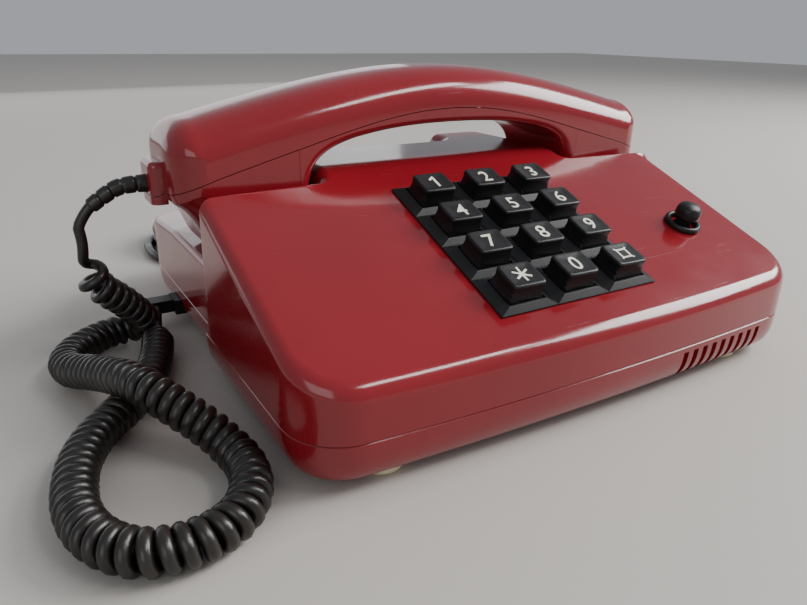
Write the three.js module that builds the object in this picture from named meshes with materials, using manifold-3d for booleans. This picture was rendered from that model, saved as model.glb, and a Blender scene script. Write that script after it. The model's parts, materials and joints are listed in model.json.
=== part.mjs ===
// A push-button desk telephone whose handset lies across the rear of the case.
// Millimetres. +X is the user's right, +Y points to the rear, +Z is up, z = 0 is the table.
import * as THREE from "three";
import { mergeVertices } from "three/addons/utils/BufferGeometryUtils.js";
import Module from "manifold-3d";

const wasm = await Module();
wasm.setup();

// ---- driving dimensions ----
const GAP = 0.3; // clearance between pieces that touch on the real object
const WALL = 2.6; // moulded wall thickness
const FRONT = -95; // mean front of the seam line
const REAR = 97.5; // rear wall
const HALF_WIDTH = 105; // half width at the seam
const REAR_HALF_WIDTH = 102; // half width beside the cradle
const FRONT_BOW = 2.5; // how far the middle of the front stands forward
const CORNER = 18; // plan radius of the front corners
const REAR_CORNER = 20; // plan radius of the rear corners
const BASE_Z = 3; // underside of the base tray
const SEAM_Z = 17.5; // joint between base tray and upper case
const FACE_FRONT_Z = 33.3; // height of the sloping face at the front
const TILT = THREE.MathUtils.degToRad(21); // slope of the keypad face
const CREST_Y = FRONT + 86; // rear edge of the sloping face
const WELL_Y = CREST_Y + 4.4; // front wall of the cradle wells
const WELL_Z = 41; // floor of the cradle wells
const WELL_REAR_Z = 37; // the well floor falls gently towards the rear
const DECK_HALF = 58; // half width of the raised deck between the wells
const DECK_Z = 70; // height of that deck
const DECK_REAR = 60; // rear edge of that deck
const SHELF_Z = 56; // height of the shelf behind the deck
const GRIP_HALF = 28; // half width of the finger recess behind the deck
const GRIP_Y = 40; // front wall of that recess

const KEY_PITCH_X = 22.5;
const KEY_PITCH_Y = 17.9;
const KEYPAD_X = -36; // left edge of the key field
const KEYPAD_UP = 12.5; // front edge of the key field, measured up the slope
const KEY_TOP = 8.4; // height of the key tops above the face
const BEZEL_TOP = 2;
const BUTTON_X = 74.3; // the round button at the right of the keys
const BUTTON_UP = 38.5;

const HANDSET_Y = 18.5; // centre line of the handset
const HANDSET_HALF_DEPTH = 22.5;
const HANDSET_END = 110; // half length of the handset
const HANDSET_CORNER = 9; // plan radius of its corners
const CUP_Z = WELL_Z + 0.7; // underside of the two cups
const CUP_INNER = 62.5;
const CUP_OUTER = 97;

const CURL_RADIUS = 6; // outside radius of the curly cord
const STRAND_RADIUS = 1.8;
const LINE_RADIUS = 2.4; // line cord
const RELIEF_RADIUS = 3;
const RELIEF_START = new THREE.Vector3(-HANDSET_END - 0.5, 19, 67);
const COIL_CENTRE = new THREE.Vector2(-52, REAR + 55);
const COIL_MEAN_RADIUS = 30;
const COIL_LAYERS = 3;

const COLOURS = {
  case: { color: 0x9c2028, roughness: 0.2, metalness: 0 },
  key: { color: 0x1c1c1d, roughness: 0.45, metalness: 0 },
  cord: { color: 0x23211f, roughness: 0.55, metalness: 0 },
  foot: { color: 0xd9cfae, roughness: 0.7, metalness: 0 },
  board: { color: 0x8a6a3a, roughness: 0.6, metalness: 0 },
  rubber: { color: 0x55585c, roughness: 0.8, metalness: 0 },
  metal: { color: 0xb8bcc0, roughness: 0.3, metalness: 1 },
  inner: { color: 0xdedad0, roughness: 0.6, metalness: 0 },
};

const materials = Object.fromEntries(
  Object.entries(COLOURS).map(([name, look]) => [name, new THREE.MeshStandardMaterial(look)]),
);

const phone = new THREE.Group();
const face = new THREE.Group(); // frame of the sloping face: x right, y up the slope, z out of it
face.position.set(0, FRONT, FACE_FRONT_Z);
face.rotation.x = TILT;
phone.add(face);

// ---- solids ----

function solid(geometry) {
  const bare = geometry.clone();
  bare.deleteAttribute("normal");
  bare.deleteAttribute("uv");
  const merged = mergeVertices(bare, 1e-4);
  return new wasm.Manifold(
    new wasm.Mesh({
      numProp: 3,
      vertProperties: new Float32Array(merged.attributes.position.array),
      triVerts: new Uint32Array(merged.index.array),
    }),
  );
}

function addSolid(group, name, made, look) {
  const mesh = made.getMesh();
  const geometry = new THREE.BufferGeometry();
  geometry.setAttribute("position", new THREE.BufferAttribute(mesh.vertProperties, 3));
  geometry.setIndex(new THREE.BufferAttribute(mesh.triVerts, 1));
  geometry.computeVertexNormals();
  return addGeometry(group, name, geometry, look);
}

function addGeometry(group, name, geometry, look) {
  const mesh = new THREE.Mesh(geometry, materials[look]);
  mesh.name = name;
  group.add(mesh);
  return mesh;
}

// A box given by its lowest and highest corners.
function block(low, high) {
  const size = high.map((v, i) => v - low[i]);
  const box = new THREE.BoxGeometry(...size);
  box.translate(...high.map((v, i) => (v + low[i]) / 2));
  return solid(box);
}

// An upright cylinder from z0 to z1.
function post(x, y, z0, z1, radius, sides = 20) {
  const cylinder = new THREE.CylinderGeometry(radius, radius, z1 - z0, sides);
  cylinder.rotateX(Math.PI / 2);
  cylinder.translate(x, y, (z0 + z1) / 2);
  return solid(cylinder);
}

// A turned solid on the Z axis from [radius, z] points that start and end on the axis.
function turned(points, sides = 28) {
  const profile = points.map(([r, z]) => new THREE.Vector2(r, z));
  const lathe = new THREE.LatheGeometry(profile, sides);
  lathe.rotateX(Math.PI / 2);
  return solid(lathe);
}

// A ring on the Z axis between two radii and two heights.
function ring(inner, outer, z0, z1, sides = 28) {
  const profile = [[inner, z0], [outer, z0], [outer, z1], [inner, z1], [inner, z0]];
  return turned(profile, sides);
}

function polygon(points) {
  return new THREE.Shape(points.map(([x, y]) => new THREE.Vector2(x, y)));
}

// A (y, z) outline pushed along X, from x0 to x1.
function acrossX(points, x0, x1) {
  const geometry = new THREE.ExtrudeGeometry(polygon(points), { depth: x1 - x0, bevelEnabled: false });
  geometry.rotateY(Math.PI / 2);
  geometry.rotateX(Math.PI / 2);
  geometry.translate(x0, 0, 0);
  return solid(geometry);
}

// An (x, z) outline pushed along Y about the handset's centre line; a bevel rounds its long edges.
function acrossY(points, halfDepth, bevel = 0) {
  const geometry = new THREE.ExtrudeGeometry(polygon(points), {
    depth: 2 * (halfDepth - bevel),
    bevelEnabled: bevel > 0,
    bevelThickness: bevel,
    bevelSize: bevel,
    bevelOffset: -bevel,
    bevelSegments: 3,
  });
  geometry.rotateX(Math.PI / 2);
  geometry.translate(0, HANDSET_Y + halfDepth - bevel, 0);
  return solid(geometry);
}

// A plan outline pushed up from z0 to z1, its sides leaning in by the draft per millimetre of height.
function upright(shape, z0, z1, draft = 0) {
  const geometry = new THREE.ExtrudeGeometry(shape, { depth: z1 - z0, bevelEnabled: false, curveSegments: 8 });
  const position = geometry.attributes.position;
  for (let i = 0; i < position.count; i += 1) {
    const shrink = 1 - (draft * position.getZ(i)) / HALF_WIDTH;
    position.setXY(i, position.getX(i) * shrink, position.getY(i) * shrink);
  }
  geometry.translate(0, 0, z0);
  return solid(geometry);
}

// ---- case ----

// The plan of the case: a bowed front, round corners, sides at halfWidth.
function plan(halfWidth, front, rear, inset = 0) {
  const w = halfWidth - inset;
  const f = front + inset;
  const b = rear - inset;
  const r = CORNER - inset;
  const q = REAR_CORNER - inset;
  const shape = new THREE.Shape();
  shape.moveTo(-w, b - q);
  shape.lineTo(-w, f + r);
  shape.absarc(-w + r, f + r, r, Math.PI, 1.5 * Math.PI, false);
  shape.quadraticCurveTo(0, f - 2 * FRONT_BOW, w - r, f);
  shape.absarc(w - r, f + r, r, 1.5 * Math.PI, 2 * Math.PI, false);
  shape.lineTo(w, b - q);
  shape.absarc(w - q, b - q, q, 0, 0.5 * Math.PI, false);
  shape.absarc(-w + q, b - q, q, 0.5 * Math.PI, Math.PI, false);
  return shape;
}

const faceZ = (y) => FACE_FRONT_Z + (y - FRONT) * Math.tan(TILT);

// The (y, z) outlines of the keypad wedge, the well floor and the deck, lowered by the inset.
function wedgeProfile(inset, bottom) {
  const low = inset / Math.cos(TILT);
  const back = WELL_Y - inset;
  return [
    [FRONT - 10, bottom], [FRONT - 10, faceZ(FRONT - 10) - low],
    [CREST_Y - inset, faceZ(CREST_Y - inset) - low], [back, faceZ(CREST_Y) - 4 - low], [back, bottom],
  ];
}

function floorProfile(inset, bottom) {
  return [
    [WELL_Y - 20, bottom], [WELL_Y - 20, WELL_Z - inset], [REAR - 50, WELL_Z - inset],
    [REAR + 5, WELL_REAR_Z - inset], [REAR + 5, bottom],
  ];
}

function deckProfile(inset, bottom) {
  const low = inset / Math.cos(TILT);
  const front = WELL_Y - 20;
  const crest = FRONT + (DECK_Z - FACE_FRONT_Z) / Math.tan(TILT);
  return [
    [front, bottom], [front, faceZ(front) - low], [crest, DECK_Z - low], [DECK_REAR - inset, DECK_Z - low],
    [DECK_REAR - inset, SHELF_Z - inset], [REAR - 6, SHELF_Z - inset], [REAR + 5, SHELF_Z - 8 - inset],
    [REAR + 5, bottom],
  ];
}

// The block of the upper case, its outside when inset is 0 and its hollow when inset is the wall.
function caseBlock(inset, bottom) {
  const top = 80;
  const draft = 0.03;
  const wide = plan(HALF_WIDTH, FRONT, REAR, inset);
  const narrow = plan(REAR_HALF_WIDTH, FRONT, REAR, inset);
  const half = HALF_WIDTH + 5;
  const deck = DECK_HALF - inset;
  const grip = GRIP_HALF + inset;
  const wedge = upright(wide, bottom, top, draft).intersect(acrossX(wedgeProfile(inset, bottom), -half, half));
  const rear = acrossX(deckProfile(inset, bottom), -deck, deck)
    .subtract(block([-grip, GRIP_Y - inset, bottom - 1], [grip, REAR + 10, top]))
    .add(acrossX(floorProfile(inset, bottom), -half, half));
  return wedge.add(upright(narrow, bottom, top, draft).intersect(rear));
}

// Moves a solid made in the sloping face's frame into the case's frame.
function onFace(made) {
  face.updateMatrix();
  return made.transform(face.matrix.elements);
}

const SCREWS = [[-88, -62], [88, -62], [-85, 66], [85, 66]];
const PLUNGERS = [-80, 80];

function upperCase() {
  let shell = caseBlock(0, SEAM_Z).subtract(caseBlock(WALL, SEAM_Z - 5));
  for (const [x, y] of SCREWS) {
    const boss = post(x, y, SEAM_Z, 60, 4.2).subtract(post(x, y, SEAM_Z - 1, 34, 1.9));
    shell = shell.add(boss.intersect(caseBlock(0.5, SEAM_Z)));
  }
  const keyField = block(
    [KEYPAD_X + 2.5, KEYPAD_UP + 2.5, -12],
    [KEYPAD_X + 3 * KEY_PITCH_X - 2.5, KEYPAD_UP + 4 * KEY_PITCH_Y - 2.5, 5],
  );
  shell = shell.subtract(onFace(keyField)).subtract(onFace(post(BUTTON_X, BUTTON_UP, -12, 5, 3.6)));
  for (const x of PLUNGERS) {
    shell = shell.subtract(block([x - 4.4, HANDSET_Y - 4.4, 30], [x + 4.4, HANDSET_Y + 4.4, 50]));
  }
  return shell;
}

const GRILLE = { first: 36, count: 9, pitch: 5.4, width: 2.7, low: 5.6, high: 15 };
const CORD_SOCKET = new THREE.Vector3(-98, 48, 9.3);
const LINE_GLAND = new THREE.Vector3(-62, REAR, 9);

function baseTray() {
  const top = SEAM_Z - GAP;
  const lean = -0.3; // the sides spread towards the seam
  const foot = 4.3; // how far the underside is inset from the seam
  const outer = upright(plan(HALF_WIDTH - foot, FRONT + foot - 1.5, REAR - foot), BASE_Z, top, lean);
  const narrow = plan(REAR_HALF_WIDTH - foot, FRONT + foot - 1.5, REAR - foot);
  const rearPart = block([-120, WELL_Y, 0], [120, REAR + 10, 30]);
  let tray = outer.subtract(rearPart).add(upright(narrow, BASE_Z, top, lean).intersect(rearPart));
  tray = tray.intersect(block([-120, FRONT - FRONT_BOW - 0.5, 0], [120, REAR, 30]));
  const hollow = plan(REAR_HALF_WIDTH - foot - WALL, FRONT + foot + WALL, REAR - foot - WALL);
  tray = tray.subtract(upright(hollow, BASE_Z + WALL, top + 5, lean));
  for (const [x, y] of SCREWS) {
    tray = tray.add(post(x, y, BASE_Z, top - 0.5, 5.4)).subtract(post(x, y, 0, 30, 1.9));
    tray = tray.subtract(post(x, y, 0, 7, 3.7));
  }
  for (let i = 0; i < GRILLE.count; i += 1) {
    const x = GRILLE.first + i * GRILLE.pitch;
    tray = tray.subtract(block([x, FRONT - 10, GRILLE.low], [x + GRILLE.width, FRONT + 12, GRILLE.high]));
  }
  const { x, y, z } = CORD_SOCKET;
  tray = tray.subtract(block([x - 10, y - 5.5, z - 3.5], [x + 10, y + 5.5, z + 3.5]));
  tray = tray.subtract(block([LINE_GLAND.x - 4, REAR - 12, 5.7], [LINE_GLAND.x + 4, REAR + 5, 12.3]));
  return tray;
}

addSolid(phone, "upper_case", upperCase(), "case");
addSolid(phone, "base_tray", baseTray(), "case");

SCREWS.forEach(([x, y], i) => {
  const screw = turned([[0, 4.2], [3.2, 4.2], [3.2, 6.7], [1.5, 6.7], [1.5, 31], [0, 32]], 12);
  addSolid(phone, `case_screw_${i + 1}`, screw, "metal").position.set(x, y, 0);
});

const FEET = [[-77, -82], [77, -82], [-77, 80], [77, 80]];
FEET.forEach(([x, y], i) => {
  const foot = turned([[0, 0], [6, 0], [7, 0.8], [7, BASE_Z - GAP], [0, BASE_Z - GAP]], 20);
  addSolid(phone, `foot_${i + 1}`, foot, "foot").position.set(x, y, 0);
});

// ---- keypad ----

const LABELS = ["star", "0", "square", "7", "8", "9", "4", "5", "6", "1", "2", "3"];
const KEY_BASE = [14, 12]; // at the bezel
const KEY_CROWN = [13.2, 11.2]; // at the top

// A block whose plan changes from the base size at z0 to the crown size at z1.
function tapered(base, crown, z0, z1) {
  const box = new THREE.BoxGeometry(1, 1, 1);
  const position = box.attributes.position;
  for (let i = 0; i < position.count; i += 1) {
    const up = position.getZ(i) > 0;
    const [w, d] = up ? crown : base;
    position.setXYZ(i, position.getX(i) * w, position.getY(i) * d, up ? z1 : z0);
  }
  return solid(box);
}

function keyCentre(index) {
  const column = index % 3;
  const row = Math.floor(index / 3);
  return [KEYPAD_X + (column + 0.5) * KEY_PITCH_X, KEYPAD_UP + (row + 0.5) * KEY_PITCH_Y];
}

function keypadBezel() {
  const edge = 0.05;
  const foot = [KEY_PITCH_X + edge, KEY_PITCH_Y + edge];
  const crown = [KEY_PITCH_X - 7.2, KEY_PITCH_Y - 4];
  let bezel = block(
    [KEYPAD_X, KEYPAD_UP, GAP],
    [KEYPAD_X + 3 * KEY_PITCH_X, KEYPAD_UP + 4 * KEY_PITCH_Y, 0.7],
  );
  LABELS.forEach((_, i) => {
    const [x, y] = keyCentre(i);
    bezel = bezel.add(tapered(foot, crown, 0.5, BEZEL_TOP).translate(x, y, 0));
  });
  LABELS.forEach((_, i) => {
    const [x, y] = keyCentre(i);
    const opening = KEY_BASE.map((size) => size / 2 + 0.35);
    bezel = bezel.subtract(
      block([x - opening[0], y - opening[1], -5], [x + opening[0], y + opening[1], 5]),
    );
  });
  return bezel;
}

function keySolid() {
  const skirt = block([-KEY_BASE[0] / 2, -KEY_BASE[1] / 2, -2.4], [KEY_BASE[0] / 2, KEY_BASE[1] / 2, BEZEL_TOP]);
  const cap = tapered(KEY_BASE, KEY_CROWN, BEZEL_TOP, KEY_TOP - 0.8);
  const rim = tapered(KEY_CROWN, KEY_CROWN.map((size) => size - 1.4), KEY_TOP - 0.8, KEY_TOP);
  return skirt.add(cap).add(rim);
}

addSolid(face, "keypad_bezel", keypadBezel(), "key");
LABELS.forEach((label, i) => {
  const [x, y] = keyCentre(i);
  addSolid(face, `key_${label}`, keySolid(), "key").position.set(x, y, 0);
});

const FIELD = [3 * KEY_PITCH_X, 4 * KEY_PITCH_Y];

function keypadMat() {
  let mat = block([KEYPAD_X + 1, KEYPAD_UP + 1, -8.2], [KEYPAD_X + FIELD[0] - 1, KEYPAD_UP + FIELD[1] - 1, -7.2]);
  LABELS.forEach((_, i) => {
    const [x, y] = keyCentre(i);
    mat = mat.add(tapered([10, 9], [7, 6.5], -7.3, -5.8).translate(x, y, 0));
  });
  return mat;
}

addSolid(face, "keypad_mat", keypadMat(), "rubber");
const boardLow = [KEYPAD_X - 4, KEYPAD_UP - 3, -10.1];
const boardHigh = [KEYPAD_X + FIELD[0] + 4, KEYPAD_UP + FIELD[1] - 3, -8.5];
addSolid(face, "keypad_board", block(boardLow, boardHigh), "board");

// ---- the round button ----

const collar = ring(5.4, 7.2, GAP, 2.2);
const plunger = turned([[0, -9], [3, -9], [3, 3.2], [4.6, 3.2], [4.9, 7.2], [4.2, 8.7], [2.6, 9.5], [0, 9.8]]);
for (const [name, made] of [["ground_button_collar", collar], ["ground_button", plunger]]) {
  addSolid(face, name, made, "key").position.set(BUTTON_X, BUTTON_UP, 0);
}
const switchLow = [BUTTON_X - 6, BUTTON_UP - 5, -21];
addSolid(face, "ground_switch", block(switchLow, [BUTTON_X + 6, BUTTON_UP + 5, -12.6]), "inner");

// ---- works inside the case ----

function soundHoles(made, x, y, z0, z1, radius, count) {
  for (let i = 0; i < count; i += 1) {
    const angle = (i / count) * 2 * Math.PI;
    const hole = post(x + radius * Math.cos(angle), y + radius * Math.sin(angle), z0, z1, 1.1, 8);
    made = made.subtract(hole);
  }
  return made.subtract(post(x, y, z0, z1, 1.1, 8));
}

const SOUNDER = [56, -60];
const sounder = turned([[0, 6.4], [17, 6.4], [20, 9], [20, 13], [8, 15.5], [8, 22], [0, 22]]);
addSolid(phone, "sounder", sounder, "metal").position.set(...SOUNDER, 0);
addSolid(phone, "sounder_ring", ring(20.4, 23, 5.9, 12), "rubber").position.set(...SOUNDER, 0);

addSolid(phone, "main_board", block([-76, -22, 9.5], [76, 78, 11.1]), "board");
addSolid(phone, "terminal_block", block([24, 52, 11.4], [62, 66, 23]), "inner");
addSolid(phone, "line_transformer", block([-58, 38, 11.4], [-34, 60, 29]), "metal");
addSolid(phone, "hook_switch", block([-9, HANDSET_Y - 6, 11.4], [9, HANDSET_Y + 6, 25.5]), "inner");

const barZ = [26.2, 29.2];
addSolid(phone, "hook_bar", block([-86, HANDSET_Y - 4, barZ[0]], [86, HANDSET_Y + 4, barZ[1]]), "metal");
PLUNGERS.forEach((x, i) => {
  const pin = tapered([7.8, 7.8], [7.2, 7.2], barZ[1] + GAP, CUP_Z - GAP).translate(x, HANDSET_Y, 0);
  addSolid(phone, `hook_plunger_${i + 1}`, pin, "key");
});

// ---- handset ----

// The joint between the two handset shells, as [x, z] for the right half.
const SEAM_HALF = new THREE.SplineCurve(
  [[0, 90.6], [27, 88.9], [52, 83], [63, 79.3], [80, 74.4], [96, 69.8], [HANDSET_END, 64.6]].map(
    ([x, z]) => new THREE.Vector2(x, z),
  ),
).getPoints(18).map((p) => [p.x, p.y]);
const TOP_RADIUS = 327;
const TOP_Z = 105;

const mirrored = (half) => [...half].reverse().map(([x, z]) => [-x, z]).concat(half.filter(([x]) => x > 0));
const lifted = (points, by) => points.map(([x, z]) => [x, z + by]);

function topHalf(inset) {
  const half = [];
  for (let x = 0; x <= 99; x += 9) {
    half.push([x, TOP_Z - inset - (TOP_RADIUS - Math.sqrt(TOP_RADIUS ** 2 - x ** 2))]);
  }
  const end = HANDSET_END - inset;
  half.push([end - 5.5, 85.8], [end - 1.8, 82], [end, 76], [end, 60]);
  return half;
}

// The handset's footprint as an upright block.
function handsetBlock(inset) {
  const x = HANDSET_END - inset;
  const y = HANDSET_HALF_DEPTH - inset;
  const r = HANDSET_CORNER - inset;
  const shape = new THREE.Shape();
  shape.moveTo(x - r, -y);
  shape.absarc(x - r, r - y, r, -0.5 * Math.PI, 0, false);
  shape.absarc(x - r, y - r, r, 0, 0.5 * Math.PI, false);
  shape.absarc(r - x, y - r, r, 0.5 * Math.PI, Math.PI, false);
  shape.absarc(r - x, r - y, r, Math.PI, 1.5 * Math.PI, false);
  return upright(shape, 30, 120).translate(0, HANDSET_Y, 0);
}

// The region below the seam curve, used to part the two shells.
function belowSeam(shift) {
  const curve = mirrored(lifted(SEAM_HALF, shift));
  const reach = HANDSET_END + 10;
  const ends = [[reach, 62 + shift], [reach, 20], [-reach, 20], [-reach, 62 + shift]];
  return acrossY([...curve, ...ends], 40);
}

function upperShell() {
  const whole = acrossY([...mirrored(topHalf(0)), [HANDSET_END, 50], [-HANDSET_END, 50]], HANDSET_HALF_DEPTH, 6);
  const outer = whole.intersect(handsetBlock(0));
  const inner = acrossY(
    [...mirrored(topHalf(WALL)), [HANDSET_END - WALL, 45], [WALL - HANDSET_END, 45]],
    HANDSET_HALF_DEPTH - WALL,
    4,
  );
  let shell = outer.subtract(inner.intersect(handsetBlock(WALL))).subtract(belowSeam(GAP / 2));
  for (const [x, y] of HANDSET_SCREWS) {
    const boss = post(x, y, 56, 95, 3.6, 12).intersect(outer).subtract(post(x, y, 40, 80, 1.8, 12));
    shell = shell.add(boss);
  }
  return shell;
}

// The hole in the left end that the strain relief passes through, half in each shell.
function cableOpening() {
  const { y, z } = RELIEF_START;
  const half = RELIEF_RADIUS + 0.4;
  return block([-HANDSET_END - 6, y - half, z - half], [-HANDSET_END + 8, y + half, z + half]);
}

// Cuts the lower rear edge of the cups off at a slant, moved inwards by the inset.
function cupChamfer(inset) {
  const away = [[22.6, 34], [47.4, 63.7]].map(([y, z]) => [y - 0.766 * inset, z + 0.643 * inset]);
  return acrossX([away[0], [60, away[0][1]], away[1]], -HANDSET_END, HANDSET_END);
}

const ARCH = [[0, 84.7], [21, 84], [38, 82], [53, 78.4], [60, 73.5], [CUP_INNER, 67]];
const ARCH_IN = [[0, 87.4], [21, 86.7], [38, 84.6], [54, 80.6], [63, 75], [CUP_INNER + WALL, 68]];
const CAPSULES = [["receiver", -79.5], ["microphone", 79.5]];
const CAPSULE_Y = HANDSET_Y - 4;
const HANDSET_SCREWS = [[-91.5, HANDSET_Y + 9.5], [91.5, HANDSET_Y + 9.5]];

function lowerShell() {
  const end = HANDSET_END;
  const cup = [[CUP_INNER, CUP_Z], [CUP_OUTER, CUP_Z], [end - 6, 57.5], [end - 1, 60], [end, 62], [end, 75]];
  const cupIn = [
    [CUP_INNER + WALL, CUP_Z + WALL], [CUP_OUTER - 1.7, CUP_Z + WALL], [end - 8, 60], [end - 3, 62.5],
    [end - WALL, 75],
  ];
  const outline = mirrored([...ARCH, ...cup]).concat([[end, 100], [-end, 100]]);
  const hollow = mirrored([...ARCH_IN, ...cupIn]).concat([[end - WALL, 110], [WALL - end, 110]]);
  const outer = acrossY(outline, HANDSET_HALF_DEPTH).intersect(handsetBlock(0)).subtract(cupChamfer(0));
  const inner = acrossY(hollow, HANDSET_HALF_DEPTH - WALL).intersect(handsetBlock(WALL)).subtract(cupChamfer(WALL));
  let shell = outer.intersect(belowSeam(-GAP / 2)).subtract(inner);
  for (const [, x] of CAPSULES) shell = soundHoles(shell, x, CAPSULE_Y, 40, 50, 6, 6);
  for (const [x, y] of HANDSET_SCREWS) {
    shell = shell.add(post(x, y, CUP_Z, 50, 4, 12)).subtract(post(x, y, 30, 60, 1.8, 12));
    shell = shell.subtract(post(x, y, 30, CUP_Z + 3, 3.1, 12));
  }
  return shell.subtract(cableOpening());
}

// The raised block on the left end that the handset's cord leaves through.
const socketLow = [-HANDSET_END - 4.5, RELIEF_START.y - 8, 60.5];
const socketHigh = [-HANDSET_END - GAP, RELIEF_START.y + 8, 75];
addSolid(phone, "handset_cord_socket", block(socketLow, socketHigh).subtract(cableOpening()), "case");

addSolid(phone, "handset_upper_shell", upperShell().subtract(cableOpening()), "case");
addSolid(phone, "handset_lower_shell", lowerShell(), "case");
HANDSET_SCREWS.forEach(([x, y], i) => {
  const screw = turned([[0, 43], [2.7, 43], [2.7, 44.4], [1.4, 44.4], [1.4, 74], [0, 75]], 12);
  addSolid(phone, `handset_screw_${i + 1}`, screw, "metal").position.set(x, y, 0);
});

for (const [name, x] of CAPSULES) {
  const floor = CUP_Z + WALL;
  const seat = ring(9, 12.5, floor + GAP, floor + 1.5);
  addSolid(phone, `${name}_gasket`, seat, "rubber").position.set(x, CAPSULE_Y, 0);
  const capsule = turned([[0, 1.8], [11.5, 1.8], [13, 3], [13, 9], [7, 11], [0, 11]].map(([r, z]) => [r, z + floor]));
  addSolid(phone, `${name}_capsule`, capsule, "metal").position.set(x, CAPSULE_Y, 0);
}
addSolid(phone, "handset_weight", block([-20, HANDSET_Y - 12, 93.5], [20, HANDSET_Y + 12, 99]), "metal");

// ---- cords ----

const vector = ([x, y, z]) => new THREE.Vector3(x, y, z);

// A round tube of the given radius along the points.
function tube(points, radius, sides, steps) {
  const section = new THREE.Shape();
  for (let i = 0; i < sides; i += 1) {
    const angle = (i / sides) * 2 * Math.PI;
    const move = i === 0 ? "moveTo" : "lineTo";
    section[move](radius * Math.cos(angle), radius * Math.sin(angle));
  }
  const path = new THREE.CatmullRomCurve3(points.map(vector), false, "centripetal");
  return new THREE.ExtrudeGeometry(section, { steps, bevelEnabled: false, extrudePath: path });
}

// The short lead that drops from the handset's strain relief to the first turns.
const TOP_LEAD = [
  [-133.6, 20.4, 59.8], [-136.4, 20.8, 56.6], [-137.8, 21, 53], [-136.6, 21, 49.4], [-135, 21, 46.4],
];

// The curly stretch: it hangs from the handset, loops forward and crosses over itself.
const CURLY_ROUTE = [
  [-135.4, 21.1, 45], [-136.6, 21.4, 40], [-135.2, 22.4, 33.6], [-131.6, 24, 28], [-128, 26, 23], [-125.4, 28.6, 17.4],
  [-124.8, 32.4, 11.6], [-127, 36, 7.8], [-132.4, 36.8, 6.4], [-138.4, 33.4, 6.4], [-144.8, 26.6, 6.4],
  [-149, 17.4, 6.6], [-148.4, 6.4, 8.6], [-144.1, -4.6, 12.8], [-139.8, -17.4, 17.4], [-135.4, -31, 19.2],
  [-130.8, -42.4, 18.8], [-125.4, -50.6, 15.6], [-120, -57, 11.6], [-115.8, -63.8, 7.6], [-114.2, -73, 6.3],
  [-116.4, -83.4, 6.2], [-122, -91.4, 6.2], [-129.4, -95.4, 6.2], [-137.8, -96, 6.2], [-145.4, -93.6, 6.2],
  [-151.4, -87.6, 6.2], [-155.2, -79.4, 6.2], [-156.6, -70, 6.2], [-155.8, -60, 6.2], [-153.4, -49.8, 6.2],
  [-149, -40, 6.2], [-142.8, -31.2, 6.2], [-135.4, -23, 6.2], [-129, -14, 6.2], [-123.6, -2.4, 6.2],
  [-119.6, 9.8, 6.2], [-115.6, 25, 6.6],
];

// From the last turns to the plug in the left wall of the base.
const BASE_LEAD = [[-115.2, 26.4, 6.6], [-114.2, 32, 7.5], [-113, 38, 8.6], [-112, 43, 9.1], [-111.6, 45.4, 9.2]];

addGeometry(phone, "handset_cord_top_lead", tube(TOP_LEAD, STRAND_RADIUS, 8, 8), "cord");
addGeometry(phone, "handset_cord", tube(CURLY_ROUTE, CURL_RADIUS, 10, 64), "cord");
addGeometry(phone, "handset_cord_base_lead", tube(BASE_LEAD, STRAND_RADIUS, 8, 6), "cord");

const reliefRoute = [RELIEF_START.toArray(), [-119, 19, 67], [-124, 19.3, 66.2], [-129, 19.8, 63.4], [-133, 20.3, 60.4]];
const relief = tube(reliefRoute, RELIEF_RADIUS, 10, 10);
addGeometry(phone, "handset_strain_relief", relief, "cord");

// The handset cord's plug sits in the left wall of the base and turns the cord forwards.
function basePlug() {
  const { x, y, z } = CORD_SOCKET;
  const body = block([x - 6.5, y - 5.1, z - 3.1], [x + 7, y + 5.1, z + 3.1]);
  const knuckle = block([-114.4, y - 2.2, z - 2.6], [-104, y + 5, z + 2.6]);
  return body.add(knuckle);
}
addSolid(phone, "handset_cord_plug", basePlug(), "key");

// The line cord leaves the rear wall and is wound into a neat ring close behind the case.
const LINE_ROUTE = [
  [-62, REAR + 7.6, 9], [-62.1, REAR + 11, 8], [-65, REAR + 15.5, 4.6], [-72, REAR + 19.5, 2.8],
  [-82, REAR + 26, 2.6], [-89.5, REAR + 35.5, 2.6], [-92.3, REAR + 45.5, 2.6], [-92.3, REAR + 53.5, 2.6],
];
addGeometry(phone, "line_cord", tube(LINE_ROUTE, LINE_RADIUS, 8, 10), "cord");
const gland = block([LINE_GLAND.x - 3.7, REAR - 10, 6], [LINE_GLAND.x + 3.7, REAR + GAP, 12])
  .add(tapered([6.4, 6.4], [5, 5], 0, 6.4).rotate([-90, 0, 0]).translate(LINE_GLAND.x, REAR, LINE_GLAND.z));
addSolid(phone, "line_strain_relief", gland, "cord");

const coilWidth = COIL_LAYERS * 2 * LINE_RADIUS;
const coilInner = COIL_MEAN_RADIUS - coilWidth / 2;
const coil = ring(coilInner, COIL_MEAN_RADIUS + coilWidth / 2, 0.1, 0.1 + coilWidth, 32);
addSolid(phone, "line_cord_coil", coil, "cord").position.set(COIL_CENTRE.x, COIL_CENTRE.y, 0);

// The plug lies between the ring and the case, its sleeve beside the last turn.
function linePlug() {
  const sleeve = tapered([4.8, 4.8], [7, 7], 0, 17).rotate([90, 0, 0]).translate(0, 0, 4.4);
  const body = block([-8, -38, 0], [8, -16, 9.5]);
  const pins = block([-5.5, -48, 2.5], [5.5, -37, 7]);
  return sleeve.add(body).add(pins);
}
const plug = addSolid(phone, "line_plug", linePlug(), "inner");
plug.position.set(COIL_CENTRE.x + COIL_MEAN_RADIUS + coilWidth / 2 + 4, COIL_CENTRE.y - 2, 0.1);

export default phone;
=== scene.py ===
import json
import math

import bmesh
import bpy
from mathutils import Matrix, Vector

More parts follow.
